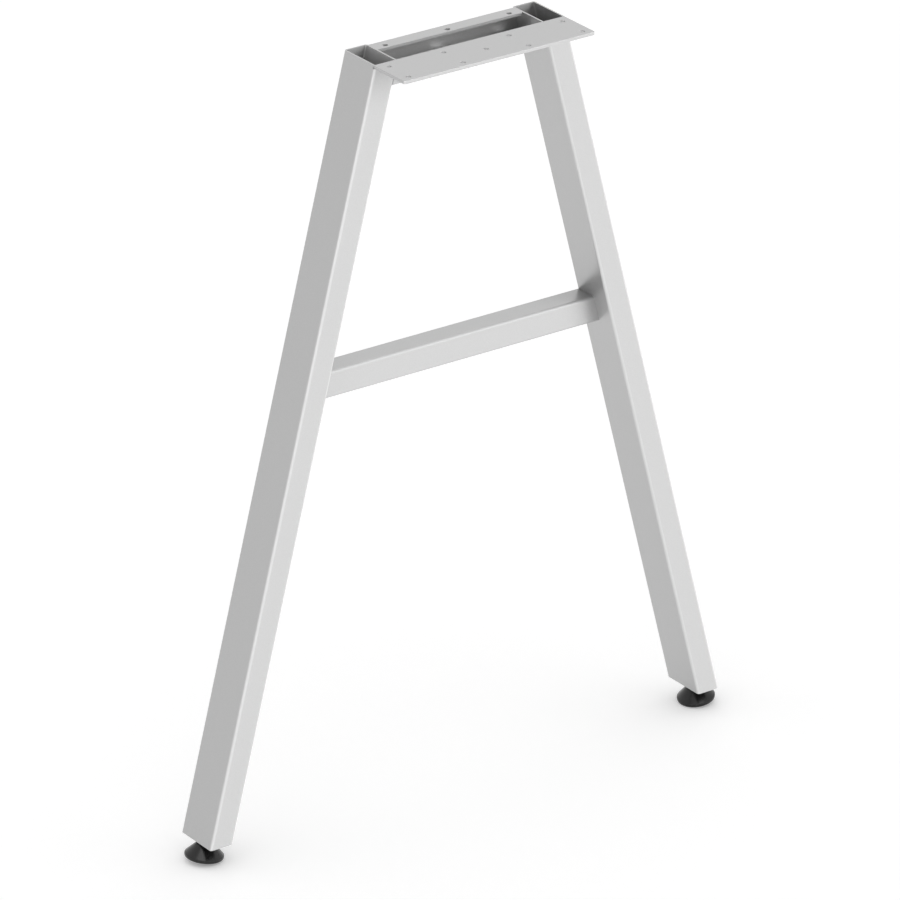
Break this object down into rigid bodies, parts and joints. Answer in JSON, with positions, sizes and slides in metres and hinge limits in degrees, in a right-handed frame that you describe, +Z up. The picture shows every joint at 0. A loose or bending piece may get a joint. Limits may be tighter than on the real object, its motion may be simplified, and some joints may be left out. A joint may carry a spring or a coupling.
{
  "type": "desk leg",
  "caption": "Slanted A-frame desk leg of rectangular steel tube with a crossbar, a slotted top rail, a drilled screw plate and swivel levelling feet.",
  "frame": {"origin": "On the floor under the middle of the leg's width and depth, with the feet screwed in.", "axes": "+Z up to the desk top, +X across the two tubes, -Y to the screw plate."},
  "size_m": [0.5792, 0.0904, 0.72],
  "materials": {
    "frame_coat": "fine satin silver-grey powder coat",
    "base_plastic": "semi-gloss moulded",
    "insert_plastic": "matt moulded",
    "plated_steel": "bright zinc plate"
  },
  "bodies": {
    "frame": {"left_leg_tube": "frame_coat", "right_leg_tube": "frame_coat", "crossbar": "frame_coat", "top_rail": "frame_coat", "top_plate": "frame_coat", "left_tube_insert": "insert_plastic", "right_tube_insert": "insert_plastic", "left_insert_nut": "plated_steel", "right_insert_nut": "plated_steel"},
    "left_stem": {"left_foot_stem": "plated_steel"},
    "left_base": {"left_foot_base": "base_plastic"},
    "right_stem": {"right_foot_stem": "plated_steel"},
    "right_base": {"right_foot_base": "base_plastic"}
  },
  "joints": [
    {"name": "left_foot_travel", "type": "slide", "parent": "frame", "child": "left_stem", "axis": [-0.2487, 0, -0.9686], "range_m": [0, 0.015]},
    {"name": "left_base_tilt", "type": "hinge", "parent": "left_stem", "child": "left_base", "pos_m": [-0.2714, 0.0217, 0.00914], "axis": [0, -1, 0], "range_deg": [-21, 8]},
    {"name": "right_foot_travel", "type": "slide", "parent": "frame", "child": "right_stem", "axis": [0.2487, 0, -0.9686], "range_m": [0, 0.015]},
    {"name": "right_base_tilt", "type": "hinge", "parent": "right_stem", "child": "right_base", "pos_m": [0.2714, 0.0217, 0.00914], "axis": [0, 1, 0], "range_deg": [-21, 8]}
  ]
}
